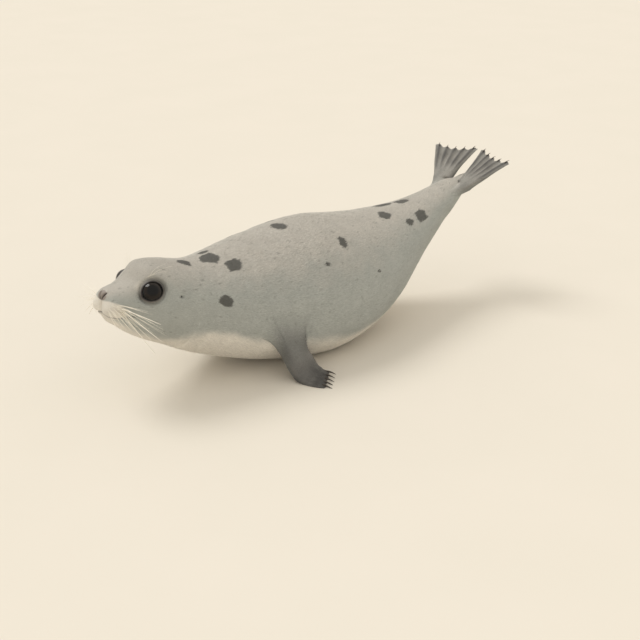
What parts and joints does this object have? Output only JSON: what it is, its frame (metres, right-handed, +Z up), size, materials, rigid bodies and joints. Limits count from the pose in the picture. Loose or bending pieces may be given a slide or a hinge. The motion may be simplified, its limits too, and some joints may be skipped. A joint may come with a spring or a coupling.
{
  "type": "harbor seal",
  "caption": "Life-size harbor seal resting on its belly, head up, hind flippers raised and fore flippers spread on the floor.",
  "frame": {"origin": "on the floor, in the middle of the flat of the belly, under the greatest girth", "axes": "+Z up, -Y towards the nose, +Y towards the tail, +X towards the animal's left side"},
  "size_m": [0.6328, 1.4022, 0.4333],
  "materials": {
    "coat": "short flat fur, grey with darker spots, cream below",
    "pale_coat": "short cream fur of the whisker pads",
    "flipper_coat": "short dark grey fur over webbed digits",
    "nose_skin": "bare, fine-grained, slightly moist skin",
    "eye": "wet, dark brown to black, mirror-smooth cornea",
    "claw": "dark horn, worn smooth"
  },
  "bodies": {
    "root": {"head": "coat", "neck": "coat", "chest": "coat", "belly": "coat", "loins": "coat", "rump": "coat", "tail": "coat", "lower_jaw": "coat", "left_whisker_pad": "pale_coat", "left_eye": "eye", "left_fore_flipper": "flipper_coat", "left_fore_claw_1": "claw", "left_fore_claw_2": "claw", "left_fore_claw_3": "claw", "left_fore_claw_4": "claw", "left_fore_claw_5": "claw", "left_hind_flipper": "flipper_coat", "left_hind_claw_1": "claw", "left_hind_claw_2": "claw", "left_hind_claw_3": "claw", "left_hind_claw_4": "claw", "left_hind_claw_5": "claw", "right_whisker_pad": "pale_coat", "right_eye": "eye", "right_fore_flipper": "flipper_coat", "right_fore_claw_1": "claw", "right_fore_claw_2": "claw", "right_fore_claw_3": "claw", "right_fore_claw_4": "claw", "right_fore_claw_5": "claw", "right_hind_flipper": "flipper_coat", "right_hind_claw_1": "claw", "right_hind_claw_2": "claw", "right_hind_claw_3": "claw", "right_hind_claw_4": "claw", "right_hind_claw_5": "claw", "nose": "nose_skin"}
  },
  "joints": []
}
